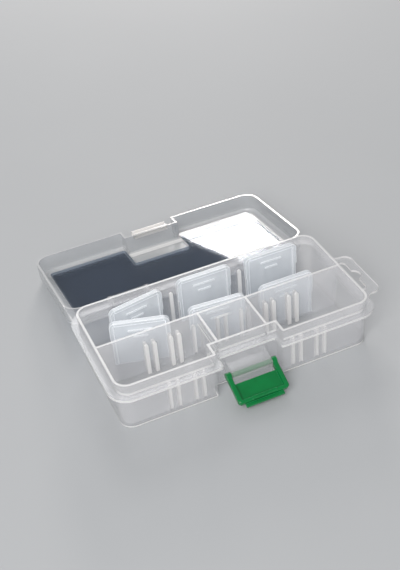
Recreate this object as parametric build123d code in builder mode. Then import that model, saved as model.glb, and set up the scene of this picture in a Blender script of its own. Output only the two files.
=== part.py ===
from build123d import *
from math import asin, atan2, cos, degrees, hypot, radians, sin, tan
import os

# A pocket fly box, shown wide open: a ribbed tray, a hinged lid with a sunk panel,
# a swing latch and six loose dividers.
# X runs along the box, Y from the latch to the hinge and Z up. The origin lies
# under the middle of the tray, on the surface that the box stands on.

# Tray shell
tray_length = 172.2  # outside, at the underside
tray_width = 82.4  # outside, at the underside
tray_height = 36.5  # underside to the top of the collar
tray_corner = 8.2  # outside corner radius at the underside
tray_draft = 1.4  # degrees, the walls lean outwards
tray_wall = 1.5
tray_floor = 1.6
foot_radius = 0.9  # round along the bottom edge
pocket_radius = 1.2  # round where the inside meets the floor

# Recess for the latch in the middle of the front wall
recess_half = 22.6
recess_face_y = -31.8
recess_round = 1.2

# Ledge that the lid's rim lands on
ledge_height = 28.9  # top of the ledge
ledge_thickness = 1.8
ledge_margin = 2.3  # how far the ledge stands beyond the lid's rim
ledge_notch_half = 19.7
ledge_notch_depth = 5.3  # ledge left in front of the recess wall
ledge_notch_round = 2.0

# Inner walls and divider ribs
partition_wall = 1.5
middle_wall_y = -0.4
cross_wall_x = 16.9
rib_pitch = 17.0
rib_spacing = 5.7  # between the two ribs of a pair
rib_width = 2.4
rib_depth = 1.5
rib_top = 26.5
rear_rib_columns = [-3, -2, -1, 0, 1, 2, 3]
front_rib_columns = [-3, -2, 2, 3]

# Hang tab on the right end
tab_top = 23.0
tab_thickness = 1.6
tab_half = 22.0
tab_reach = 15.8  # from the ledge's edge to the tab's edge
tab_corner = 6.0
tab_root_round = 7.0
tab_root_margin = 2.0  # straight root beyond the ledge's edge
tab_slot_half = 16.0
tab_slot_width = 5.6
tab_slot_margin = 7.2  # from the slot to the tab's edge
tab_dome_radius = 5.35
tab_dome_margin = 3.5  # from the dome to the tab's edge

# Lid, in its closed place
lid_seat = 0.3  # clearance between the lid's rim and the ledge
lid_side_gap = 0.45  # clearance between the lid and the collar
lid_wall = 1.5
lid_draft = 1.0  # degrees, the sides lean inwards
lid_height = 15.4  # rim to top
lid_corner = 11.0
lid_edge_radius = 5.0
lid_side_border = 9.6
lid_border = 8.1
panel_sink = 2.0
panel_thickness = 1.4
panel_round = 3.0  # round the grip pad's inner corners
panel_corner = 1.2  # at the corners by the border

# Pocket in the lid that clears the latch, and its grip pad
pocket_half = 19.8
pocket_gap = 0.7  # clearance to the recess wall, which the pocket swings past
pocket_upright = 8.0  # upright part of the pocket's back wall
pocket_slant = 6.5  # how far the back wall leans in above it
pad_half = 22.9
pad_reach_y = -11.7
grip_rib_count = 5
grip_rib_pitch = 2.4
grip_rib_width = 0.9
grip_rib_height = 0.4
grip_rib_half = 15.5
grip_rib_margin = 2.0  # from the pocket's top edge to the first rib

# Catch bar under the latch's hook
catch_half = 13.3
catch_reach = 7.0
catch_thickness = 3.8
catch_groove_width = 3.6
catch_groove_depth = 2.2
catch_lead = 0.6

# Hinge
hinge_setback = 3.5  # from the lid's rear face to the axis
hinge_gap = 0.3  # between the ears and the lid's rear face
station_x = 46.4
station_length = 28.5
ear_thickness = 2.4
ear_gusset_angle = 49.0  # slope of the gusset under an ear
barrel_radius = 2.9
barrel_side_gap = 0.45
hinge_pin_radius = 1.3
hinge_fit = 0.08
barrel_web_rise = 5.5  # how far the barrel's web climbs the rear wall

# Latch, in its closed place
pivot_y = -42.0
pivot_z = 15.2
axle_radius = 1.7
axle_fit = 0.08
latch_half = 17.4
arm_thickness = 3.1
arm_inside = 1.8  # arm edge inside of the pivot
arm_outside = 2.3  # arm edge outside of the pivot
arm_eye_radius = 2.5
plate_thickness = 2.0
plate_start = 6.3  # from the pivot
hook_gap = 0.35  # hook above the catch bar
hook_thickness = 2.2
hook_half = 8.4
hook_reach = 0.8  # beyond the arms' inner edge
hook_chamfer = 0.5
latch_corner = 2.4
arm_round = 0.9  # along the arms, to suit the thumb
lip_half = 13.1
lip_thickness = 1.5
lip_reach = 2.4
latch_open_angle = 114.0  # degrees from closed, where its snug bearing leaves it

# Bearing boss that holds the latch's axle
boss_side_gap = 0.4  # between the boss and an arm
boss_front = 2.9  # in front of the pivot
boss_top = 2.4  # above the pivot, at the front
boss_rise = 4.1  # from the front of the roof to the recess wall
boss_drop = 6.2  # below the pivot
boss_wall = 1.5
snap_share = 0.8  # snap slot's share of the bore's diameter

# Loose dividers
divider_width = 39.0
divider_foot_width = 37.6
divider_foot_height = 18.0
divider_height = 34.6
divider_plate = 1.4
divider_frame = 2.8
divider_frame_width = 2.0
divider_bar = 3.2
divider_bar_height = 2.2
divider_corner = 3.5
divider_ridges = [(26.9, 15.7), (21.8, 9.5)]  # height and length of each grip ridge
ridge_height = 1.0
ridge_proud = 0.6
divider_clearance = 0.3
standing_gap = 0.1  # under a divider that stands on the floor

# Where each divider stands: along the box, out from its row's slots, and turn in degrees
rear_left_along = -47.6
rear_left_out = 4.9
rear_left_turn = 9.7
rear_middle_along = 3.4
rear_right_along = 54.0
front_left_along = -52.5
front_left_out = 8.1
front_left_turn = -16.9
front_middle_along = -1.0
front_middle_out = 1.4
front_middle_turn = -4.0
front_right_along = 48.7

# The open lid comes to rest on the table
table_gap = 0.05


def spread(height, draft):
    """Sideways travel of a leaning wall over a height."""
    return height * tan(radians(draft))


# Sizes that follow from the ones above
collar_spread = spread(tray_height, tray_draft)
collar_length = tray_length + 2 * collar_spread
collar_width = tray_width + 2 * collar_spread
inner_length = tray_length - 2 * tray_wall
inner_width = tray_width - 2 * tray_wall
inner_corner = tray_corner - tray_wall
hollow_height = tray_height - tray_floor

rim_height = ledge_height + lid_seat
lid_top = rim_height + lid_height
collar_overlap = tray_height - rim_height
lid_side_room = lid_side_gap + spread(collar_overlap, lid_draft) + lid_wall
lid_length = collar_length + 2 * lid_side_room
lid_width = collar_width + 2 * lid_side_room
lid_rear_y = lid_width / 2
ledge_length = lid_length + 2 * ledge_margin
ledge_width = lid_width + 2 * ledge_margin
ledge_corner = lid_corner + ledge_margin

pocket_face_y = recess_face_y - pocket_gap - lid_wall
pocket_top_y = pocket_face_y + pocket_slant
catch_face_y = pocket_face_y - catch_reach
catch_top = rim_height + catch_thickness

axis_y = lid_rear_y + hinge_setback
axis_z = ledge_height
ear_radius = hinge_setback - hinge_gap
barrel_length = station_length - 2 * ear_thickness - 2 * barrel_side_gap
barrel_room = station_length - 2 * ear_thickness

arm_inner_half = latch_half - arm_thickness
boss_half = arm_inner_half - boss_side_gap
plate_inner_y = pivot_y - arm_outside + plate_thickness
hook_under = catch_top + hook_gap
latch_top = hook_under + hook_thickness
latch_reach = latch_top - pivot_z

# How far the lid turns from closed until its far edge rests on the table
edge_back = lid_width / 2 - spread(lid_height, lid_draft) - lid_edge_radius + axis_y
edge_up = lid_top - lid_edge_radius - axis_z
edge_drop = axis_z - lid_edge_radius - table_gap
lid_open_angle = 180 + degrees(asin(edge_drop / hypot(edge_back, edge_up)) - atan2(edge_up, edge_back))

hinge_line = Axis((0, axis_y, axis_z), (-1, 0, 0))
latch_line = Axis((0, pivot_y, pivot_z), (1, 0, 0))

os.makedirs("parts", exist_ok=True)


# Space inside the tray: what is cut from the solid block to leave walls and ribs
with BuildPart() as tray_space:
    with BuildSketch(Plane.XY.offset(tray_floor)):
        floor_spread = spread(tray_floor, tray_draft)
        RectangleRounded(inner_length + 2 * floor_spread, inner_width + 2 * floor_spread, inner_corner)
    extrude(amount=hollow_height, taper=-tray_draft)
    fillet(tray_space.faces().sort_by(Axis.Z)[0].edges(), radius=pocket_radius)

    # Recess wall, middle wall and cross walls stay solid
    with BuildSketch(Plane.XY.offset(tray_floor)):
        with Locations((0, recess_face_y + tray_wall)):
            Rectangle(2 * (recess_half + tray_wall), tray_width, align=(Align.CENTER, Align.MAX))
        with Locations((0, middle_wall_y)):
            Rectangle(collar_length, partition_wall)
        with Locations((-cross_wall_x, middle_wall_y), (cross_wall_x, middle_wall_y)):
            Rectangle(partition_wall, middle_wall_y - recess_face_y, align=(Align.CENTER, Align.MAX))
    extrude(amount=hollow_height, mode=Mode.SUBTRACT)

    # Pairs of ribs that hold the dividers, on the four long wall faces
    wall_face = inner_width / 2
    middle_face = partition_wall / 2
    rib_rows = [
        (wall_face - rib_depth, 1, rear_rib_columns),
        (middle_wall_y + middle_face + rib_depth, -1, rear_rib_columns),
        (middle_wall_y - middle_face - rib_depth, 1, front_rib_columns),
        (rib_depth - wall_face, -1, front_rib_columns),
    ]
    for rib_face_y, side, columns in rib_rows:
        centres = [k * rib_pitch + half * rib_spacing / 2 for k in columns for half in (-1, 1)]
        with BuildSketch(Plane.XZ.offset(-rib_face_y)):
            with Locations([(x, tray_floor) for x in centres]):
                Rectangle(rib_width, rib_top - rib_width / 2 - tray_floor, align=(Align.CENTER, Align.MIN))
            with Locations([(x, rib_top - rib_width / 2) for x in centres]):
                Circle(rib_width / 2)
        extrude(amount=-side * (rib_depth + middle_face), mode=Mode.SUBTRACT)


with BuildPart() as tray:
    with BuildSketch():
        RectangleRounded(tray_length, tray_width, tray_corner)
    extrude(amount=tray_height, taper=-tray_draft)
    fillet(tray.faces().sort_by(Axis.Z)[0].edges(), radius=foot_radius)

    # Latch recess
    with BuildSketch() as recess:
        with Locations((0, recess_face_y)):
            Rectangle(2 * recess_half, tray_width, align=(Align.CENTER, Align.MAX))
        fillet(recess.vertices().group_by(Axis.Y)[-1], radius=recess_round)
    extrude(amount=tray_height, mode=Mode.SUBTRACT)
    recess_mouth = tray.edges().filter_by(
        lambda e: abs(abs(e.center().X) - recess_half) < 0.01 and e.center().Y < -tray_width / 2
    )
    fillet(recess_mouth.filter_by(lambda e: e.length > tray_height / 2), radius=recess_round)

    # Ledge around the collar, stepped in at the latch and cut back at the lid's barrels
    with BuildSketch(Plane.XY.offset(ledge_height - ledge_thickness)) as ledge:
        RectangleRounded(ledge_length, ledge_width, ledge_corner)
        with Locations((0, recess_face_y - ledge_notch_depth)):
            Rectangle(2 * ledge_notch_half, ledge_width, align=(Align.CENTER, Align.MAX), mode=Mode.SUBTRACT)
        notch_corners = ledge.vertices().filter_by(lambda v: abs(abs(v.X) - ledge_notch_half) < 0.01)
        fillet(notch_corners, radius=ledge_notch_round)
        with Locations([(x, axis_y - barrel_radius - hinge_gap) for x in (-station_x, station_x)]):
            Rectangle(barrel_room, ledge_width, align=(Align.CENTER, Align.MIN), mode=Mode.SUBTRACT)
    extrude(amount=ledge_thickness)

    # Hinge ears with their gussets
    ear_starts = [
        centre + end
        for centre in (-station_x, station_x)
        for end in (-station_length / 2, station_length / 2 - ear_thickness)
    ]
    foot_angle = radians(ear_gusset_angle)
    ear_touch = (axis_y + ear_radius * sin(foot_angle), axis_z - ear_radius * cos(foot_angle))
    ear_root_y = collar_width / 2 - tray_wall
    ear_root_z = ear_touch[1] - (ear_touch[0] - ear_root_y) * tan(foot_angle)
    for ear_start in ear_starts:
        with BuildSketch(Plane.YZ.offset(ear_start)):
            with BuildLine():
                Polyline(
                    (ear_root_y, axis_z), (axis_y, axis_z), ear_touch, (ear_root_y, ear_root_z), close=True
                )
            make_face()
            with Locations((axis_y, axis_z)):
                Circle(ear_radius)
        extrude(amount=ear_thickness)
    with BuildSketch(Plane.YZ):
        with Locations((axis_y, axis_z)):
            Circle(hinge_pin_radius + hinge_fit)
    extrude(amount=collar_length / 2, both=True, mode=Mode.SUBTRACT)

    # Hang tab with a domed slot
    tab_edge_x = ledge_length / 2 + tab_reach
    tab_root_x = collar_length / 2 - tray_wall
    slot_x = tab_edge_x - tab_slot_margin - tab_slot_width / 2
    flare_x = ledge_length / 2 + tab_root_margin
    root_half = tab_half + tab_root_round
    with BuildSketch(Plane.XY.offset(tab_top - tab_thickness)):
        with BuildLine():
            Line((tab_root_x, root_half), (flare_x, root_half))
            RadiusArc((flare_x, root_half), (flare_x + tab_root_round, tab_half), -tab_root_round)
            Line((flare_x + tab_root_round, tab_half), (tab_edge_x - tab_corner, tab_half))
            RadiusArc((tab_edge_x - tab_corner, tab_half), (tab_edge_x, tab_half - tab_corner), tab_corner)
            Line((tab_edge_x, tab_half - tab_corner), (tab_edge_x, 0))
            mirror(about=Plane.XZ)
            Line((tab_root_x, root_half), (tab_root_x, -root_half))
        make_face()
        with Locations((slot_x, 0)):
            SlotOverall(2 * tab_slot_half, tab_slot_width, rotation=90, mode=Mode.SUBTRACT)
        with Locations((tab_edge_x - tab_dome_margin - tab_dome_radius, 0)):
            Circle(tab_dome_radius, mode=Mode.SUBTRACT)
    extrude(amount=tab_thickness)

    # Bearing boss: a hood over the axle, open below so that the axle snaps in
    boss_root_y = recess_face_y + tray_wall / 2
    boss_front_y = pivot_y - boss_front
    boss_bottom = pivot_z - boss_drop
    boss_front_z = pivot_z + boss_top
    snap_width = snap_share * 2 * (axle_radius + axle_fit)
    with BuildSketch(Plane.YZ.offset(-boss_half)):
        with BuildLine():
            Polyline(
                (boss_root_y, boss_front_z + boss_rise),
                (boss_front_y, boss_front_z),
                (boss_front_y, boss_bottom),
                (boss_root_y, boss_bottom),
                close=True,
            )
        make_face()
        with Locations((pivot_y, pivot_z)):
            Circle(axle_radius + axle_fit, mode=Mode.SUBTRACT)
            Rectangle(snap_width, 2 * boss_drop, align=(Align.CENTER, Align.MAX), mode=Mode.SUBTRACT)
    extrude(amount=2 * boss_half)
    core_front_y = pivot_y + axle_radius + axle_fit + boss_wall
    with BuildSketch(Plane.XY.offset(boss_bottom)):
        with Locations((0, core_front_y)):
            Rectangle(
                2 * (boss_half - boss_wall), recess_face_y - core_front_y, align=(Align.CENTER, Align.MIN)
            )
    extrude(amount=boss_drop + boss_top - boss_wall, mode=Mode.SUBTRACT)

    add(tray_space.part, mode=Mode.SUBTRACT)

tray.part.label = "tray"
export_step(tray.part, "parts/tray.step")


# Outline of the lid's sunk panel: a rectangle with the grip pad's corner taken out
with BuildSketch(Plane.XY.offset(lid_top - panel_sink)) as panel:
    Rectangle(lid_length - 2 * lid_side_border, lid_width - 2 * lid_border)
    with Locations((0, pad_reach_y)):
        Rectangle(2 * pad_half, lid_width, align=(Align.CENTER, Align.MAX), mode=Mode.SUBTRACT)
    edge_corners = panel.vertices().filter_by(lambda v: abs(v.Y - pad_reach_y) > 0.01)
    fillet(edge_corners, radius=panel_corner)
    fillet(panel.vertices().filter_by(lambda v: abs(v.Y - pad_reach_y) < 0.01), radius=panel_round)

# Space inside the closed lid
with BuildPart() as lid_space:
    with BuildSketch(Plane.XY.offset(rim_height)):
        RectangleRounded(lid_length - 2 * lid_wall, lid_width - 2 * lid_wall, lid_corner - lid_wall)
    extrude(amount=lid_height - lid_wall, taper=lid_draft)
    fillet(lid_space.faces().sort_by(Axis.Z)[-1].edges(), radius=lid_edge_radius - lid_wall)
    # Back wall and side walls of the latch pocket stay solid
    with BuildSketch(Plane.YZ.offset(-pocket_half - lid_wall)):
        with BuildLine():
            slant_wall = lid_wall / cos(atan2(pocket_slant, lid_height - pocket_upright))
            Polyline(
                (pocket_face_y + lid_wall, rim_height),
                (pocket_face_y + lid_wall, rim_height + pocket_upright),
                (pocket_top_y + slant_wall, lid_top),
                (-lid_width, lid_top),
                (-lid_width, rim_height),
                close=True,
            )
        make_face()
    extrude(amount=2 * (pocket_half + lid_wall), mode=Mode.SUBTRACT)
    # Sunk panel and the step around it stay solid
    with BuildSketch(Plane.XY.offset(lid_top - panel_sink - panel_thickness)):
        add(panel.sketch.face().moved(Location((0, 0, panel_sink - lid_top))))
        offset(amount=panel_thickness)
    extrude(amount=panel_sink + panel_thickness, mode=Mode.SUBTRACT)

with BuildPart() as closed_lid:
    with BuildSketch(Plane.XY.offset(rim_height)):
        RectangleRounded(lid_length, lid_width, lid_corner)
    extrude(amount=lid_height, taper=lid_draft)
    fillet(closed_lid.faces().sort_by(Axis.Z)[-1].edges(), radius=lid_edge_radius)

    # Latch pocket, open to the front
    with BuildSketch(Plane.YZ.offset(-pocket_half)):
        with BuildLine():
            Polyline(
                (pocket_face_y, rim_height),
                (pocket_face_y, rim_height + pocket_upright),
                (pocket_top_y, lid_top),
                (-lid_width, lid_top),
                (-lid_width, rim_height),
                close=True,
            )
        make_face()
    extrude(amount=2 * pocket_half, mode=Mode.SUBTRACT)

    # Sunk panel
    add(panel.sketch)
    extrude(amount=panel_sink, mode=Mode.SUBTRACT)
    add(lid_space.part, mode=Mode.SUBTRACT)

    # Fine grip ribs on the pad behind the pocket
    rib_ys = [pocket_top_y + grip_rib_margin + k * grip_rib_pitch for k in range(grip_rib_count)]
    with BuildSketch(Plane.XY.offset(lid_top)):
        with Locations([(0, y) for y in rib_ys]):
            SlotOverall(2 * grip_rib_half, grip_rib_width)
    extrude(amount=grip_rib_height)

    # Catch bar, grooved underneath
    with BuildSketch(Plane.YZ.offset(-catch_half)) as catch:
        with Locations((pocket_face_y + lid_wall / 2, rim_height)):
            Rectangle(catch_reach + lid_wall / 2, catch_thickness, align=(Align.MAX, Align.MIN))
        outer_corners = catch.vertices().sort_by(Axis.X)[:2]
        chamfer(outer_corners, length=catch_lead)
        with Locations(((pocket_face_y + catch_face_y) / 2, rim_height)):
            Rectangle(
                catch_groove_width,
                catch_groove_depth,
                align=(Align.CENTER, Align.MIN),
                mode=Mode.SUBTRACT,
            )
    extrude(amount=2 * catch_half)

    # Hinge barrels with their webs and stub pins
    for centre in (-station_x, station_x):
        with BuildSketch(Plane.YZ.offset(centre - barrel_length / 2)):
            with Locations((axis_y, axis_z)):
                Circle(barrel_radius)
            with BuildLine():
                Polyline(
                    (lid_rear_y - lid_wall / 2, rim_height),
                    (axis_y, rim_height),
                    (axis_y, axis_z + barrel_radius),
                    (lid_rear_y - lid_wall / 2, rim_height + barrel_web_rise),
                    close=True,
                )
            make_face()
        extrude(amount=barrel_length)
        with BuildSketch(Plane.YZ.offset(centre)):
            with Locations((axis_y, axis_z)):
                Circle(hinge_pin_radius)
        extrude(amount=station_length / 2, both=True)

with BuildPart() as lid:
    add(closed_lid.part.rotate(hinge_line, lid_open_angle))

lid.part.label = "lid"
export_step(lid.part, "parts/lid.step")


with BuildPart() as closed_latch:
    # Arms with round eyes at the pivot
    for arm_start in (-latch_half, arm_inner_half):
        with BuildSketch(Plane.YZ.offset(arm_start)):
            with Locations((pivot_y - arm_outside, pivot_z)):
                Rectangle(arm_inside + arm_outside, latch_reach, align=(Align.MIN, Align.MIN))
            with Locations((pivot_y, pivot_z)):
                Circle(arm_eye_radius)
        extrude(amount=arm_thickness)

    # Plate between the arms
    with BuildSketch(Plane.XY.offset(pivot_z + plate_start)):
        with Locations((0, pivot_y - arm_outside)):
            Rectangle(2 * latch_half, plate_thickness, align=(Align.CENTER, Align.MIN))
    extrude(amount=latch_reach - plate_start)

    # End rim and the hook that reaches over the catch bar
    with BuildSketch(Plane.XY.offset(hook_under)) as hook:
        with Locations((0, plate_inner_y)):
            Rectangle(2 * latch_half, pivot_y + arm_inside - plate_inner_y, align=(Align.CENTER, Align.MIN))
            Rectangle(
                2 * hook_half,
                pivot_y + arm_inside + hook_reach - plate_inner_y,
                align=(Align.CENTER, Align.MIN),
            )
    extrude(amount=hook_thickness)
    hook_edge = closed_latch.edges().filter_by(Axis.X).sort_by(Axis.Y)[-2:].sort_by(Axis.Z)[-1]
    chamfer(hook_edge, length=hook_chamfer)

    # Round corners at the free end
    end_corners = closed_latch.edges().filter_by(Axis.Y).group_by(Axis.Z)[-1]
    outer_corners = end_corners.filter_by(lambda e: abs(abs(e.center().X) - latch_half) < 0.01)
    fillet(outer_corners, radius=latch_corner)

    # Round the arms, outside all along and inside on the catch's side
    long_edges = closed_latch.edges().filter_by(Axis.Z)
    outside_arm = long_edges.filter_by(lambda e: abs(abs(e.center().X) - latch_half) < 0.01)
    inside_arm = long_edges.filter_by(
        lambda e: abs(abs(e.center().X) - arm_inner_half) < 0.01 and e.center().Y > pivot_y
    )
    fillet(outside_arm + inside_arm, radius=arm_round)

    # Finger lip, which carries the plate's outer face on past the end rim
    with BuildSketch(Plane.XY.offset(latch_top)):
        with Locations((0, pivot_y - arm_outside)):
            Rectangle(2 * lip_half, lip_thickness, align=(Align.CENTER, Align.MIN))
    extrude(amount=lip_reach)

    # Axle
    with BuildSketch(Plane.YZ):
        with Locations((pivot_y, pivot_z)):
            Circle(axle_radius)
    extrude(amount=arm_inner_half, both=True)

with BuildPart() as latch:
    add(closed_latch.part.rotate(latch_line, latch_open_angle))

latch.part.label = "latch"
export_step(latch.part, "parts/latch.step")


# One divider, standing on the origin with its plate along X
with BuildPart() as divider:
    half_foot = divider_foot_width / 2
    half_top = divider_width / 2
    with BuildSketch(Plane.XZ) as outline:
        with BuildLine():
            Polyline(
                (-half_foot, 0),
                (half_foot, 0),
                (half_foot, divider_foot_height),
                (half_top, divider_foot_height),
                (half_top, divider_height),
                (-half_top, divider_height),
                (-half_top, divider_foot_height),
                (-half_foot, divider_foot_height),
                close=True,
            )
        make_face()
        fillet(outline.vertices().group_by(Axis.Y)[-1], radius=divider_corner)
    extrude(amount=divider_frame / 2, both=True)

    # Thin plate inside the frame, on both faces
    pocket_depth = (divider_frame - divider_plate) / 2
    for face_side in (-1, 1):
        with BuildSketch(Plane.XZ.offset(face_side * divider_plate / 2)):
            with Locations((0, 0)):
                Rectangle(
                    divider_foot_width - 2 * divider_frame_width,
                    divider_height - divider_bar_height,
                    align=(Align.CENTER, Align.MIN),
                )
        extrude(amount=face_side * pocket_depth, mode=Mode.SUBTRACT)
        with BuildSketch(Plane.XZ.offset(face_side * divider_plate / 2)):
            for ridge_z, ridge_length in divider_ridges:
                with Locations((0, ridge_z)):
                    SlotOverall(ridge_length, ridge_height)
        extrude(amount=face_side * ridge_proud)

    # Thicker bar along the top
    with BuildSketch(Plane.XZ) as bar:
        with Locations((0, divider_height)):
            Rectangle(
                divider_width - 2 * divider_corner, divider_bar_height, align=(Align.CENTER, Align.MAX)
            )
    extrude(amount=divider_bar / 2, both=True)

# Place and turn about Z of each divider
half_frame = divider_bar / 2
rear_row_y = wall_face - rib_depth - divider_clearance - half_frame
front_row_y = middle_wall_y + middle_face + rib_depth + divider_clearance + half_frame
divider_places = {
    "divider_rear_left": (rear_left_along, rear_row_y - rear_left_out, rear_left_turn),
    "divider_rear_middle": (rear_middle_along, rear_row_y, 0.0),
    "divider_rear_right": (rear_right_along, rear_row_y, 0.0),
    "divider_front_left": (front_left_along, front_row_y + front_left_out, front_left_turn),
    "divider_front_middle": (front_middle_along, front_row_y + front_middle_out, front_middle_turn),
    "divider_front_right": (front_right_along, front_row_y, 0.0),
}
for name, (x, y, turn) in divider_places.items():
    with BuildPart() as standing_divider:
        add(divider.part.moved(Location((x, y, tray_floor + standing_gap), (0, 0, turn))))
    standing_divider.part.label = name
    export_step(standing_divider.part, f"parts/{name}.step")
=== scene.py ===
"""Pocket fly box: frosted tray, clear lid, green latch and six lift-out dividers, open on a pale floor."""

import math

import bpy
from bpy.props import FloatProperty, FloatVectorProperty, PointerProperty
from mathutils import Matrix, Vector

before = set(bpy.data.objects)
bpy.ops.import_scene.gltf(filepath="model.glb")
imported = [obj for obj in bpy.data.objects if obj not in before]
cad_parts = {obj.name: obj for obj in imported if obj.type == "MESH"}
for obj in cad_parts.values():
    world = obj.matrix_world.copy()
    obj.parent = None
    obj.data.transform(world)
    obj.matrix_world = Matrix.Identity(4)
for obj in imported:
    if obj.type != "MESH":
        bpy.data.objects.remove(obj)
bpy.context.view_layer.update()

bl_info = {
    "name": "Fly Box",
    "version": (1, 0, 0),
    "blender": (4, 5, 0),
    "location": "3D Viewport > Sidebar > Fly Box",
    "description": "Moulded plastic finishes and studio for a pocket fly box",
    "category": "Object",
}

DIVIDERS = (
    "divider_rear_left",
    "divider_rear_middle",
    "divider_rear_right",
    "divider_front_left",
    "divider_front_middle",
    "divider_front_right",
)

# The lid as it lies open: its hinge line, how far it has swung, and where its sunk panel lies once shut
HINGE_LINE = (0.0, 0.047669, 0.0289)
LID_SWING = math.radians(188.82)
PANEL_FACES = (0.0412, 0.0426)

# How far from an edge dividers look whiter and the latch rounded and worn, and how much a face turns there
EDGE_REACH = 0.0009
EDGE_TURN = (0.015, 0.14)
LATCH_REACH = 0.0005
LATCH_TURN = (0.015, 0.12)

# How far past its limit a mask fades out, and how close to a height a level face counts as lying there
MASK_FADE = 0.0001
RIM_REACH = 0.00005
LID_RIM_REACH = 0.0002
PANEL_REACH = 0.00012

# Where the tray's plastic is thick or seen edge on, and so looks whitest
RIM_HEIGHT = 0.0365
LEDGE_SPAN = (0.0272, 0.0288)
RIB_PITCH = 0.017
RIB_OFFSET = 0.00285
RIB_HALF = 0.0012
RIB_SPAN = (0.0018, 0.0265)
RIB_ROWS = (0.0388, 0.00125, -0.00205, -0.0388)
RIB_ROW_HALF = 0.0007
RIB_REACH = 0.0560
FOOT_HEIGHT = 0.0016
BOSS_MIDDLE = (0.0, -0.0392, 0.0154)
BOSS_HALF = (0.0142, 0.0060, 0.0070)
TRAY_WHITE = {"rim": 0.62, "ledge": 0.75, "foot": 0.9, "rib": 0.9, "boss": 0.05, "tab edge": 0.9}

# The hang tab starts here along the box, and is this much clearer than the walls
TAB_START = 0.0926
TAB_EDGE_FADE = 0.0005
TAB_FADE = 0.004
TAB_THIN = 0.35

# The same on the lid, in its shut place: rim, catch bar, step round the panel, border and bend to the walls
LID_RIM_HEIGHT = 0.0292
CATCH_MIDDLE = (0.0, -0.0376, 0.0311)
CATCH_HALF = (0.0136, 0.0035, 0.0022)
STEP_MIDDLE = (0.0, 0.0, 0.04215)
STEP_HALF = (0.0815, 0.0382, 0.0009)
BORDER_FACES = (0.0431, 0.0446)
BEND_SPAN = (0.0405, 0.0430)
LID_WHITE = {"rim": 0.4, "bar": 1.0, "step": 0.8, "border": 0.3, "bend": 0.3}

# How squarely a face looks outward or upward, and how level a face of the lid lies, as a mask takes it in
OUTWARD_RAMP = (0.15, 0.3)
UPWARD_RAMP = (0.3, 0.7)
LEVEL_RAMP = (0.96, 0.99)

# Lumps to the metre in the plastic's milk, its flow marks and its grain, and how much they change it
CLOUD_SCALE = 60.0
FLOW_SCALE = 14.0
GRAIN_SCALE = 1500.0
CLOUD_SPREAD = 0.06
FROST_SPREAD = 0.03
GRAIN_STRENGTH = 0.25

# The range that such noise mostly stays within
NOISE_SPAN = (0.3, 0.7)

# The rubs in the clear panel: how they are stretched and turned, and how much rougher and milkier they are
RUB_SCALE = (40.0, 900.0, 40.0)
RUB_TURN = (0.0, 0.0, 0.5)
RUB_ROUGH = 0.02
RUB_MILK = 1.5

# Lumps a metre in the latch's colour, grain and scuffs, its deepest colour, and how much rougher it wears
LATCH_CLOUD_SCALE = 90.0
LATCH_GRAIN_SCALE = 1800.0
SCUFF_SCALE = 420.0
DEEP_SHARE = 0.82
SCUFF_ROUGH = 0.06
WORN_ROUGH = 0.15
LATCH_GRAIN_STRENGTH = 0.3

# How fast a face grows milkier and more mirror-like as it is looked at along it, and how much it mirrors
SLANT_POWER = 2.5
MIRROR_POWER = 5.0
MIRROR_LEAST = 0.04
MIRROR_GAIN = 0.94

# How much of their glow from behind the edges keep
EDGE_GLOW = 0.3

# The camera: where it stands and how it is turned, in metres and degrees
CAMERA_PLACE = Vector((-0.18691, -0.45856, 0.44592))
CAMERA_AZIMUTH = math.radians(-20.76)
CAMERA_HEIGHT = math.radians(38.37)
CAMERA_ROLL = math.radians(-5.22)
LENS = 63.07
SENSOR = 36.0

# The lamps: what they face, their sizes, and where the two stand that the level rims and clear panel mirror
BOX_MIDDLE = (0.0, 0.03, 0.02)
PANEL_MIDDLE = (0.04, 0.09, 0.01)
KEY_PLACE = (-0.9, -1.0, 1.1)
KEY_SIZE = (1.0, 1.0)
RIM_WAY = (14.0, 38.4, 1.6)
RIM_SIZE = (0.6, 0.55)
MIRRORED_WAY = (22.95, 17.4, 1.8)
MIRRORED_SIZE = (0.46, 0.28)
MIRRORED_TILT = math.radians(33.0)

# Light passes up to this many clear faces, one behind the other
CLEAR_LAYERS = 48


# ---------------------------------------------------------------- small helpers


def node(tree, kind, inputs=None, **settings):
    """A shader node with its settings and input values."""
    made = tree.nodes.new(kind)
    for name, value in settings.items():
        setattr(made, name, value)
    for name, value in (inputs or {}).items():
        socket = made.inputs[name]
        if isinstance(value, bpy.types.NodeSocket):
            tree.links.new(value, socket)
        else:
            socket.default_value = value
    return made


def reckon(tree, operation, *values, clamp=False):
    """The result of one step of arithmetic on numbers or sockets."""
    return node(
        tree, "ShaderNodeMath", dict(enumerate(values)), operation=operation, use_clamp=clamp
    ).outputs[0]


def all_of(tree, *shares):
    """Several shares multiplied together."""
    together = shares[0]
    for share in shares[1:]:
        together = reckon(tree, "MULTIPLY", together, share)
    return together


def none_of(tree, share):
    """What a share leaves of one."""
    return reckon(tree, "SUBTRACT", 1.0, share)


def mapped(tree, value, low, high, to_low=0.0, to_high=1.0):
    """A value carried from one range to another and held within it."""
    made = node(
        tree,
        "ShaderNodeMapRange",
        {"Value": value, "From Min": low, "From Max": high, "To Min": to_low, "To Max": to_high},
        clamp=True,
    )
    return made.outputs["Result"]


def mottle(tree, place, scale, detail, roughness):
    """Cloudy noise, 0 to 1, whose lumps are about 1 / scale metres across."""
    made = node(
        tree,
        "ShaderNodeTexNoise",
        {"Vector": place, "Scale": scale, "Detail": detail, "Roughness": roughness},
        noise_dimensions="3D",
    )
    return made.outputs["Fac"]


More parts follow.
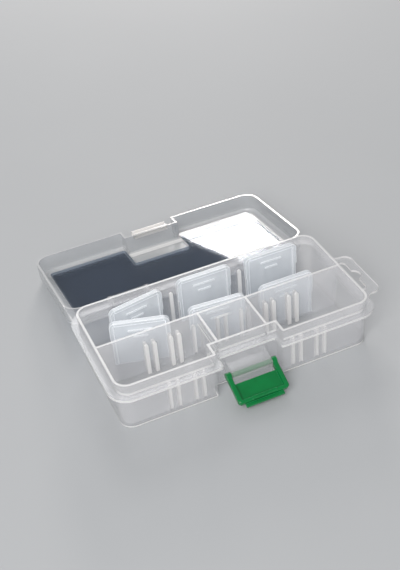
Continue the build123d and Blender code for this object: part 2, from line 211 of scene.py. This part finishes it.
def blend_colour(tree, share, first, second):
    """A colour between two, by a share of 0 to 1."""
    made = node(tree, "ShaderNodeMix", data_type="RGBA")
    for index, value in ((0, share), (6, first), (7, second)):
        if isinstance(value, bpy.types.NodeSocket):
            tree.links.new(value, made.inputs[index])
        else:
            made.inputs[index].default_value = value if index == 0 else (*value, 1.0)
    return made.outputs[2]


def blank_material(name):
    """A new material with only its output, and the piece's own coordinates."""
    material = bpy.data.materials.new(name)
    material.use_nodes = True
    tree = material.node_tree
    tree.nodes.clear()
    output = node(tree, "ShaderNodeOutputMaterial")
    place = node(tree, "ShaderNodeTexCoord").outputs["Object"]
    return material, tree, output.inputs["Surface"], place


def mix_shaders(tree, share, first, second):
    """Two shaders mixed by a share of 0 to 1."""
    return node(tree, "ShaderNodeMixShader", {0: share, 1: first, 2: second}).outputs[0]


def rounded_normal(tree, radius):
    """The surface's direction, rounded over near its edges."""
    return node(tree, "ShaderNodeBevel", {"Radius": radius}, samples=8).outputs["Normal"]


def moulded_edge(tree, reach, least, most):
    """How much a spot lies on an edge, corner or rib of the moulding, 0 to 1."""
    plain = node(tree, "ShaderNodeNewGeometry").outputs["Normal"]
    alike = node(
        tree, "ShaderNodeVectorMath", {0: rounded_normal(tree, reach), 1: plain}, operation="DOT_PRODUCT"
    ).outputs["Value"]
    return mapped(tree, none_of(tree, alike), least, most)


def dress(piece_name, material):
    """Puts a material on a CAD piece, in all its slots."""
    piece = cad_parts.get(piece_name)
    if piece is None:
        raise RuntimeError(f"the packed model has no piece named {piece_name}")
    slots = piece.material_slots
    if not slots:
        piece.data.materials.append(None)
    for slot in piece.material_slots:
        slot.link = "OBJECT"
        slot.material = material


# ---------------------------------------------------------------- finishes


def close_to(tree, value, middle, reach):
    """1 where a value is within reach of a middle, and 0 just beyond."""
    away = reckon(tree, "ABSOLUTE", reckon(tree, "SUBTRACT", value, middle))
    return mapped(tree, away, reach, reach + MASK_FADE, 1.0, 0.0)


def between(tree, value, low, high):
    """1 where a value lies between two others, and 0 just outside."""
    return close_to(tree, value, (low + high) / 2, (high - low) / 2)


def axes_of(tree, place):
    """A spot's three coordinates."""
    return node(tree, "ShaderNodeSeparateXYZ", {"Vector": place}).outputs


def facing(tree, way):
    """How squarely a face looks along a direction of its own piece, -1 to 1."""
    normal = node(tree, "ShaderNodeNewGeometry").outputs["True Normal"]
    normal = node(
        tree,
        "ShaderNodeVectorTransform",
        {"Vector": normal},
        vector_type="NORMAL",
        convert_from="WORLD",
        convert_to="OBJECT",
    ).outputs["Vector"]
    return node(tree, "ShaderNodeVectorMath", {0: normal, 1: way}, operation="DOT_PRODUCT").outputs["Value"]


def within(tree, place, middle, half):
    """1 inside a box given by its middle and half size, and 0 outside it."""
    axes = axes_of(tree, place)
    return all_of(tree, *(close_to(tree, axes[axis], m, h) for axis, m, h in zip("XYZ", middle, half)))


def any_of(tree, *shares):
    """The largest of several shares."""
    most = shares[0]
    for share in shares[1:]:
        most = reckon(tree, "MAXIMUM", most, share)
    return most


def whitest(tree, weights, shares):
    """The largest of several named shares, each times its weight."""
    return any_of(tree, *(reckon(tree, "MULTIPLY", share, weights[name]) for name, share in shares.items()))


def tray_rib(tree, axes, boss):
    """Where a divider rib stands on one of the tray's long walls, 0 to 1."""
    folded = reckon(tree, "ABSOLUTE", reckon(tree, "WRAP", axes["X"], RIB_PITCH / 2, -RIB_PITCH / 2))
    return all_of(
        tree,
        close_to(tree, folded, RIB_OFFSET, RIB_HALF),
        any_of(tree, *(close_to(tree, axes["Y"], middle, RIB_ROW_HALF) for middle in RIB_ROWS)),
        between(tree, axes["Z"], *RIB_SPAN),
        close_to(tree, axes["X"], 0.0, RIB_REACH),
        none_of(tree, boss),
    )


def tray_thick(tree, place):
    """Where the tray is whitest: rims, ribs, boss and the edges of its ledge, foot and tab, 0 to 1."""
    axes = axes_of(tree, place)
    flat = node(
        tree, "ShaderNodeVectorMath", {0: place, 1: (1.0, 1.0, 0.0)}, operation="MULTIPLY"
    ).outputs["Vector"]
    outward = node(tree, "ShaderNodeVectorMath", {0: flat}, operation="NORMALIZE").outputs["Vector"]
    outside = mapped(tree, facing(tree, outward), *OUTWARD_RAMP)
    upward = reckon(tree, "ABSOLUTE", facing(tree, (0.0, 0.0, 1.0)))
    upright = mapped(tree, upward, *UPWARD_RAMP, 1.0, 0.0)
    on_tab = mapped(tree, axes["X"], TAB_START, TAB_START + TAB_EDGE_FADE)
    boss = within(tree, place, BOSS_MIDDLE, BOSS_HALF)
    shares = {
        "rim": close_to(tree, axes["Z"], RIM_HEIGHT, RIM_REACH),
        "ledge": all_of(tree, between(tree, axes["Z"], *LEDGE_SPAN), outside),
        "foot": all_of(tree, close_to(tree, axes["Z"], 0.0, FOOT_HEIGHT), outside),
        "rib": tray_rib(tree, axes, boss),
        "boss": boss,
        "tab edge": all_of(tree, on_tab, upright),
    }
    return whitest(tree, TRAY_WHITE, shares)


def tray_thin(tree, place):
    """Where the tray is clearer than its walls: on the hang tab, 0 to 1."""
    return mapped(tree, axes_of(tree, place)["X"], TAB_START, TAB_START + TAB_FADE, 0.0, TAB_THIN)


def panel_value(tree, share, elsewhere, there):
    """A number that changes where the clear panel is."""
    return node(tree, "ShaderNodeMix", {0: share, 2: elsewhere, 3: there}, data_type="FLOAT").outputs[0]


def see_through_plastic(name, finish, thick_at=None, thin_at=None, panel_at=None):
    """Polypropylene: milky see-through walls whose edges gather light.

    Each face lets most light straight through, scatters a share of it
    and mirrors a little more at a low angle.
    """
    material, tree, surface, place = blank_material(name)
    edge = thick_at(tree, place) if thick_at else moulded_edge(tree, EDGE_REACH, *EDGE_TURN)
    cloud = mottle(tree, place, CLOUD_SCALE, 3.0, 0.55)
    flow = mottle(tree, place, FLOW_SCALE, 2.0, 0.5)
    fine = mottle(tree, place, GRAIN_SCALE, 2.0, 0.6)

    haze = mapped(
        tree, cloud, *NOISE_SPAN, finish.haze * (1 - CLOUD_SPREAD), finish.haze * (1 + CLOUD_SPREAD)
    )
    # A wall looked at edge on holds more milk along the line of sight
    low = node(tree, "ShaderNodeLayerWeight", {"Blend": 0.5}).outputs["Facing"]
    haze = reckon(tree, "MULTIPLY_ADD", reckon(tree, "POWER", low, SLANT_POWER), finish.slant_haze, haze)
    if thin_at is not None:
        haze = all_of(tree, haze, none_of(tree, thin_at(tree, place)))
    haze = reckon(tree, "MULTIPLY_ADD", edge, finish.edge_haze, haze, clamp=True)
    rough = mapped(tree, flow, *NOISE_SPAN, finish.frost - FROST_SPREAD, finish.frost + FROST_SPREAD)
    colour = blend_colour(tree, edge, tuple(finish.tint), tuple(finish.edge_tint))
    passed = (*finish.passed, 1.0)
    depth = GRAIN_STRENGTH

    if panel_at is not None:
        share, gloss, clear = panel_at(tree, place)
        depth = panel_value(tree, share, depth, 0.0)
        haze = panel_value(tree, share, haze, clear)
        rough = panel_value(tree, share, rough, gloss)
        # On the panel, what shows through is darkened to a bluish tint: painted shade
        passed = blend_colour(tree, share, tuple(finish.passed), tuple(finish.panel_tint_and_painted_shade))
    bump = node(
        tree, "ShaderNodeBump", {"Height": fine, "Strength": depth, "Distance": finish.grain}
    ).outputs["Normal"]

    matt = node(
        tree,
        "ShaderNodeBsdfPrincipled",
        {"Base Color": colour, "Roughness": 0.5, "Specular IOR Level": 0.0, "Normal": bump},
    ).outputs["BSDF"]
    glow = node(tree, "ShaderNodeBsdfTranslucent", {"Color": colour, "Normal": bump}).outputs["BSDF"]
    lit_behind = mapped(tree, edge, 0.0, 1.0, finish.glow, EDGE_GLOW * finish.glow)
    milk = mix_shaders(tree, lit_behind, matt, glow)
    through = node(tree, "ShaderNodeBsdfTransparent", {"Color": passed}).outputs["BSDF"]
    body = mix_shaders(tree, haze, through, milk)

    mirrored = reckon(
        tree, "MULTIPLY_ADD", reckon(tree, "POWER", low, MIRROR_POWER), MIRROR_GAIN, MIRROR_LEAST
    )
    gloss = node(tree, "ShaderNodeBsdfAnisotropic", {"Roughness": rough, "Normal": bump}).outputs["BSDF"]
    tree.links.new(mix_shaders(tree, mirrored, body, gloss), surface)
    return material


def shut_place(tree, place):
    """A spot on the open lid turned back to where it lies when the lid is shut."""
    return node(
        tree,
        "ShaderNodeVectorRotate",
        {"Vector": place, "Center": HINGE_LINE, "Angle": LID_SWING},
        rotation_type="X_AXIS",
    ).outputs["Vector"]


def lid_level(tree):
    """Where a face of the lid lies level with its panel, 0 to 1."""
    squarely = reckon(tree, "ABSOLUTE", facing(tree, (0.0, -math.sin(LID_SWING), -math.cos(LID_SWING))))
    return mapped(tree, squarely, *LEVEL_RAMP)


def level_face(tree, height, faces, reach):
    """Where a face of the lid lies level at one of several heights, 0 to 1."""
    return all_of(
        tree, any_of(tree, *(close_to(tree, height, face, reach) for face in faces)), lid_level(tree)
    )


def lid_thick(tree, place):
    """Where the lid is whitest: rim, catch bar, and the step, border and bend round its panel, 0 to 1."""
    shut = shut_place(tree, place)
    height = axes_of(tree, shut)["Z"]
    shares = {
        "rim": level_face(tree, height, (LID_RIM_HEIGHT,), LID_RIM_REACH),
        "bar": within(tree, shut, CATCH_MIDDLE, CATCH_HALF),
        "step": all_of(tree, within(tree, shut, STEP_MIDDLE, STEP_HALF), none_of(tree, lid_level(tree))),
        "border": level_face(tree, height, BORDER_FACES, PANEL_REACH),
        "bend": between(tree, height, *BEND_SPAN),
    }
    return whitest(tree, LID_WHITE, shares)


def lid_plastic(name, finish):
    """The lid: milky walls round a panel that is clear and glossy on both faces."""

    def panel_at(tree, place):
        share = level_face(tree, axes_of(tree, shut_place(tree, place))["Z"], PANEL_FACES, PANEL_REACH)
        # Fine rubs in the panel from use
        along = node(
            tree, "ShaderNodeMapping", {"Vector": place, "Scale": RUB_SCALE, "Rotation": RUB_TURN}
        ).outputs["Vector"]
        rubs = mottle(tree, along, 1.0, 3.0, 0.6)
        gloss = mapped(tree, rubs, 0.35, 0.75, finish.panel_gloss, finish.panel_gloss + RUB_ROUGH)
        clear = mapped(tree, rubs, 0.5, 0.8, finish.panel_haze, finish.panel_haze * RUB_MILK)
        return share, gloss, clear

    return see_through_plastic(name, finish, lid_thick, panel_at=panel_at)


def latch_plastic(name, finish):
    """Glossy coloured plastic with paler, slightly worn edges."""
    material, tree, surface, place = blank_material(name)
    edge = moulded_edge(tree, LATCH_REACH, *LATCH_TURN)
    rounded = rounded_normal(tree, LATCH_REACH)
    cloud = mottle(tree, place, LATCH_CLOUD_SCALE, 3.0, 0.55)
    fine = mottle(tree, place, LATCH_GRAIN_SCALE, 2.0, 0.6)
    scuff = mottle(tree, place, SCUFF_SCALE, 4.0, 0.65)

    deep = tuple(c * DEEP_SHARE for c in finish.colour)
    colour = blend_colour(tree, mapped(tree, cloud, *NOISE_SPAN), deep, tuple(finish.colour))
    worn = all_of(tree, edge, mapped(tree, scuff, 0.35, 0.65, 0.25, 0.7))
    colour = blend_colour(tree, worn, colour, tuple(finish.edge_colour))
    rough = mapped(tree, scuff, *NOISE_SPAN, finish.gloss, finish.gloss + SCUFF_ROUGH)
    rough = reckon(tree, "MULTIPLY_ADD", worn, WORN_ROUGH, rough)
    bump = node(
        tree,
        "ShaderNodeBump",
        {"Height": fine, "Normal": rounded, "Strength": LATCH_GRAIN_STRENGTH, "Distance": finish.grain},
    ).outputs["Normal"]
    shader = node(
        tree,
        "ShaderNodeBsdfPrincipled",
        {
            "Base Color": colour,
            "Roughness": rough,
            "Normal": bump,
            "IOR": 1.5,
            "Specular IOR Level": 0.2,
            "Coat Weight": 0.45,
            "Coat Roughness": 0.06,
            "Subsurface Weight": 0.15,
            "Subsurface Radius": (0.0008, 0.002, 0.001),
            "Subsurface Scale": 1.0,
        },
    )
    tree.links.new(shader.outputs["BSDF"], surface)
    return material


def floor_finish(name, colour):
    """Plain matt studio floor with the faintest unevenness."""
    material, tree, surface, place = blank_material(name)
    soft = mottle(tree, place, 6.0, 3.0, 0.5)
    shade = mapped(tree, soft, *NOISE_SPAN, 0.99, 1.01)
    plain = node(
        tree, "ShaderNodeVectorMath", {0: tuple(colour), "Scale": shade}, operation="SCALE"
    ).outputs["Vector"]
    shader = node(tree, "ShaderNodeBsdfPrincipled", {"Base Color": plain, "Roughness": 0.85})
    tree.links.new(shader.outputs["BSDF"], surface)
    return material


# ---------------------------------------------------------------- studio


def photo_camera():
    """The camera at the photograph's viewpoint, with no shift and everything sharp."""
    forward = -Vector(
        (
            math.sin(CAMERA_AZIMUTH) * math.cos(CAMERA_HEIGHT),
            -math.cos(CAMERA_AZIMUTH) * math.cos(CAMERA_HEIGHT),
            math.sin(CAMERA_HEIGHT),
        )
    )
    level_right = forward.cross(Vector((0, 0, 1))).normalized()
    level_down = forward.cross(level_right)
    right = math.cos(-CAMERA_ROLL) * level_right + math.sin(-CAMERA_ROLL) * level_down
    down = -math.sin(-CAMERA_ROLL) * level_right + math.cos(-CAMERA_ROLL) * level_down
    data = bpy.data.cameras.new("photo_camera")
    data.sensor_fit = "VERTICAL"
    data.sensor_height = SENSOR
    data.lens = LENS
    data.clip_start = 0.01
    data.clip_end = 60.0
    camera = bpy.data.objects.new("photo_camera", data)
    bpy.context.scene.collection.objects.link(camera)
    turn = Matrix((right, -down, -forward)).transposed().to_4x4()
    camera.matrix_world = Matrix.Translation(CAMERA_PLACE) @ turn
    bpy.context.scene.camera = camera


def softbox(name, place, target, width, height, power, tilt=0.0, colour=(1.0, 1.0, 1.0)):
    """A flat rectangular lamp that faces its target, tilted about the line to it."""
    data = bpy.data.lights.new(name, "AREA")
    data.shape = "RECTANGLE"
    data.size = width
    data.size_y = height
    data.energy = power
    data.color = colour
    lamp = bpy.data.objects.new(name, data)
    bpy.context.scene.collection.objects.link(lamp)
    away = (Vector(place) - Vector(target)).normalized()
    level = away.cross(Vector((0, 0, 1))).normalized()
    along = math.cos(tilt) * level + math.sin(tilt) * level.cross(away)
    turn = Matrix((along, away.cross(along), away)).transposed().to_4x4()
    lamp.matrix_world = Matrix.Translation(place) @ turn


def seen_from(target, azimuth, height, distance):
    """The place at that azimuth, height angle and distance from a target."""
    azimuth, height = math.radians(azimuth), math.radians(height)
    way = Vector(
        (math.sin(azimuth) * math.cos(height), math.cos(azimuth) * math.cos(height), math.sin(height))
    )
    return Vector(target) + distance * way


def studio_floor(colour):
    """One large flat sheet under the box."""
    mesh = bpy.data.meshes.new("studio_floor")
    reach, rings, spokes = 14.0, 6, 48
    points, faces = [(0.0, 0.0, 0.0)], []
    for ring in range(1, rings + 1):
        radius = reach * (ring / rings) ** 2
        for spoke in range(spokes):
            angle = 2 * math.pi * spoke / spokes
            points.append((radius * math.cos(angle), radius * math.sin(angle), 0.0))
    for spoke in range(spokes):
        faces.append((0, 1 + spoke, 1 + (spoke + 1) % spokes))
    for ring in range(rings - 1):
        inner, outer = 1 + ring * spokes, 1 + (ring + 1) * spokes
        for spoke in range(spokes):
            after = (spoke + 1) % spokes
            faces.append((inner + spoke, outer + spoke, outer + after, inner + after))
    mesh.from_pydata(points, [], faces)
    floor = bpy.data.objects.new("studio_floor", mesh)
    bpy.context.scene.collection.objects.link(floor)
    mesh.materials.append(floor_finish("studio_floor", colour))


def studio_world(colour, strength):
    """Even pale light from all round."""
    world = bpy.data.worlds.new("studio_world")
    world.use_nodes = True
    tree = world.node_tree
    tree.nodes.clear()
    back = node(tree, "ShaderNodeBackground", {"Color": (*colour, 1.0), "Strength": strength})
    output = node(tree, "ShaderNodeOutputWorld")
    tree.links.new(back.outputs["Background"], output.inputs["Surface"])
    bpy.context.scene.world = world


# ---------------------------------------------------------------- what a user can change


def colour_setting(name, description, default):
    """A colour to choose, as red, green and blue shares."""
    return FloatVectorProperty(
        name=name, description=description, default=default, subtype="COLOR", size=3, min=0.0, max=1.0
    )


def share_setting(name, description, default):
    """A share from nought to one."""
    return FloatProperty(
        name=name, description=description, default=default, subtype="FACTOR", min=0.0, max=1.0
    )


def grain_setting(default):
    """The depth of the moulding's grain."""
    return FloatProperty(
        name="Grain",
        description="Depth of the fine moulding grain",
        default=default,
        unit="LENGTH",
        subtype="DISTANCE",
        precision=6,
        min=0.0,
        max=0.001,
    )


def power_setting(name, description, default):
    """A lamp's power in watts."""
    return FloatProperty(
        name=name, description=description, default=default, unit="POWER", min=0.0, max=200.0
    )


class TrayFinish(bpy.types.PropertyGroup):
    tint: colour_setting("Tint", "Colour of the frosted walls", (0.975, 0.975, 0.98))
    edge_tint: colour_setting("Edge tint", "Colour of the bright edges and rims", (0.97, 0.955, 0.94))
    passed: colour_setting("Passed light", "Colour of what shows through one face", (0.985, 0.985, 0.99))
    haze: share_setting("Haze", "How milky one face is", 0.19)
    slant_haze: share_setting("Slant haze", "How much milkier a face is when looked at along it", 0.22)
    edge_haze: share_setting("Edge haze", "How much milkier the edges are", 0.75)
    glow: share_setting("Glow", "How much of the milk is lit from behind", 0.5)
    frost: share_setting("Frost", "Roughness of the frosted faces", 0.22)
    grain: grain_setting(0.000006)


class LidFinish(bpy.types.PropertyGroup):
    tint: colour_setting("Tint", "Colour of the milky walls and border", (0.88, 0.89, 0.90))
    edge_tint: colour_setting("Edge tint", "Colour of the bright edges and rims", (0.93, 0.91, 0.89))
    passed: colour_setting("Passed light", "Colour of what shows through one face", (0.85, 0.86, 0.87))
    haze: share_setting("Haze", "How milky one face of the border is", 0.17)
    slant_haze: share_setting("Slant haze", "How much milkier a face is when looked at along it", 0.3)
    edge_haze: share_setting("Edge haze", "How much milkier the edges are", 0.75)
    glow: share_setting("Glow", "How much of the milk is lit from behind", 0.35)
    frost: share_setting("Frost", "Roughness of the border and walls", 0.20)
    # Painted shade: over its two faces the panel lets through only a quarter to a third of the light, so it
    # shows dark and bluish
    panel_tint_and_painted_shade: colour_setting(
        "Panel tint", "Colour of what shows through one face of the panel", (0.48, 0.535, 0.61)
    )
    panel_haze: share_setting("Panel haze", "How milky one face of the panel is", 0.018)
    panel_gloss: share_setting("Panel roughness", "Roughness of the glossy panel", 0.02)
    grain: grain_setting(0.000006)


class LatchFinish(bpy.types.PropertyGroup):
    colour: colour_setting("Colour", "Colour of the latch", (0.0, 0.215, 0.050))
    edge_colour: colour_setting("Edge colour", "Colour of its paler edges", (0.08, 0.42, 0.20))
    gloss: share_setting("Roughness", "Roughness of the glossy faces", 0.14)
    grain: grain_setting(0.000006)


class DividerFinish(bpy.types.PropertyGroup):
    tint: colour_setting("Tint", "Colour of the plates", (0.93, 0.96, 0.99))
    edge_tint: colour_setting("Edge tint", "Colour of their frames and ridges", (0.97, 0.985, 1.0))
    passed: colour_setting("Passed light", "Colour of what shows through one face", (0.98, 0.988, 0.994))
    haze: share_setting("Haze", "How milky one face is", 0.46)
    slant_haze: share_setting("Slant haze", "How much milkier a face is when looked at along it", 0.3)
    edge_haze: share_setting("Edge haze", "How much milkier the edges are", 0.70)
    glow: share_setting("Glow", "How much of the milk is lit from behind", 0.35)
    frost: share_setting("Frost", "Roughness of the plates", 0.18)
    grain: grain_setting(0.000006)


class StudioSettings(bpy.types.PropertyGroup):
    floor: colour_setting("Floor", "Colour of the floor", (0.48, 0.49, 0.50))
    sky: colour_setting("Surround", "Colour of the light from all round", (0.97, 0.98, 1.0))
    sky_strength: FloatProperty(
        name="Surround strength",
        description="Strength of the light from all round",
        default=0.38,
        min=0.0,
        max=2.0,
    )
    lamp_power: power_setting("Lamp power", "Power of the main softbox", 21.5)
    rim_power: power_setting("Rim lamp power", "Power of the softbox that the level rims mirror", 5.5)
    mirrored_colour: colour_setting(
        "Mirrored lamp colour", "Colour of the softbox that the clear panel mirrors", (1.0, 0.94, 0.89)
    )
    mirrored_power: power_setting(
        "Mirrored lamp power", "Power of the softbox that the clear panel mirrors", 12.0
    )


class FlyBoxSettings(bpy.types.PropertyGroup):
    tray: PointerProperty(type=TrayFinish, name="Tray", description="Finish of the tray")
    lid: PointerProperty(type=LidFinish, name="Lid", description="Finish of the lid")
    latch: PointerProperty(type=LatchFinish, name="Latch", description="Finish of the latch")
    dividers: PointerProperty(type=DividerFinish, name="Dividers", description="Finish of the dividers")
    studio: PointerProperty(type=StudioSettings, name="Studio", description="Floor and light")


# ---------------------------------------------------------------- operators


class FLYBOX_OT_tray(bpy.types.Operator):
    """Give the tray its frosted plastic"""

    bl_idname = "fly_box.tray"
    bl_label = "Finish tray"

    def execute(self, context):
        dress(
            "tray",
            see_through_plastic("frosted_tray_plastic", context.scene.fly_box.tray, tray_thick, tray_thin),
        )
        return {"FINISHED"}


class FLYBOX_OT_lid(bpy.types.Operator):
    """Give the lid its milky border and clear panel"""

    bl_idname = "fly_box.lid"
    bl_label = "Finish lid"

    def execute(self, context):
        dress("lid", lid_plastic("clear_lid_plastic", context.scene.fly_box.lid))
        return {"FINISHED"}


class FLYBOX_OT_latch(bpy.types.Operator):
    """Give the latch its glossy green plastic"""

    bl_idname = "fly_box.latch"
    bl_label = "Finish latch"

    def execute(self, context):
        dress("latch", latch_plastic("green_latch_plastic", context.scene.fly_box.latch))
        return {"FINISHED"}


class FLYBOX_OT_dividers(bpy.types.Operator):
    """Give the six dividers their bluish plastic"""

    bl_idname = "fly_box.dividers"
    bl_label = "Finish dividers"

    def execute(self, context):
        material = see_through_plastic("divider_plastic", context.scene.fly_box.dividers)
        for name in DIVIDERS:
            dress(name, material)
        return {"FINISHED"}


class FLYBOX_OT_stage(bpy.types.Operator):
    """Lay the floor and set the lamps and the camera"""

    bl_idname = "fly_box.stage"
    bl_label = "Set stage"

    def execute(self, context):
        studio = context.scene.fly_box.studio
        studio_floor(studio.floor)
        studio_world(tuple(studio.sky), studio.sky_strength)
        softbox("key_softbox", KEY_PLACE, BOX_MIDDLE, *KEY_SIZE, studio.lamp_power)
        rim = seen_from(BOX_MIDDLE, *RIM_WAY)
        softbox("rim_softbox", rim, BOX_MIDDLE, *RIM_SIZE, studio.rim_power)
        mirrored = seen_from(PANEL_MIDDLE, *MIRRORED_WAY)
        warm = tuple(studio.mirrored_colour)
        softbox(
            "mirrored_softbox",
            mirrored,
            PANEL_MIDDLE,
            *MIRRORED_SIZE,
            studio.mirrored_power,
            MIRRORED_TILT,
            warm,
        )
        photo_camera()
        context.scene.view_settings.view_transform = "Standard"
        context.scene.cycles.transparent_max_bounces = CLEAR_LAYERS
        return {"FINISHED"}


class FLYBOX_PT_panel(bpy.types.Panel):
    """The fly box's pieces and their settings"""

    bl_idname = "FLYBOX_PT_panel"
    bl_label = "Fly Box"
    bl_space_type = "VIEW_3D"
    bl_region_type = "UI"
    bl_category = "Fly Box"

    def draw(self, context):
        settings = context.scene.fly_box
        for group, operator in (
            (settings.tray, FLYBOX_OT_tray),
            (settings.lid, FLYBOX_OT_lid),
            (settings.latch, FLYBOX_OT_latch),
            (settings.dividers, FLYBOX_OT_dividers),
            (settings.studio, FLYBOX_OT_stage),
        ):
            column = self.layout.box().column()
            for name in group.__annotations__:
                column.prop(group, name)
            column.operator(operator.bl_idname)


CLASSES = (
    TrayFinish,
    LidFinish,
    LatchFinish,
    DividerFinish,
    StudioSettings,
    FlyBoxSettings,
    FLYBOX_OT_tray,
    FLYBOX_OT_lid,
    FLYBOX_OT_latch,
    FLYBOX_OT_dividers,
    FLYBOX_OT_stage,
    FLYBOX_PT_panel,
)


def register():
    for cls in CLASSES:
        bpy.utils.register_class(cls)
    bpy.types.Scene.fly_box = PointerProperty(
        type=FlyBoxSettings, name="Fly Box", description="Fly box settings"
    )


def unregister():
    del bpy.types.Scene.fly_box
    for cls in reversed(CLASSES):
        bpy.utils.unregister_class(cls)


def main():
    register()
    bpy.ops.fly_box.stage()
    bpy.ops.fly_box.tray()
    bpy.ops.fly_box.lid()
    bpy.ops.fly_box.latch()
    bpy.ops.fly_box.dividers()


if __name__ == "__main__":
    main()
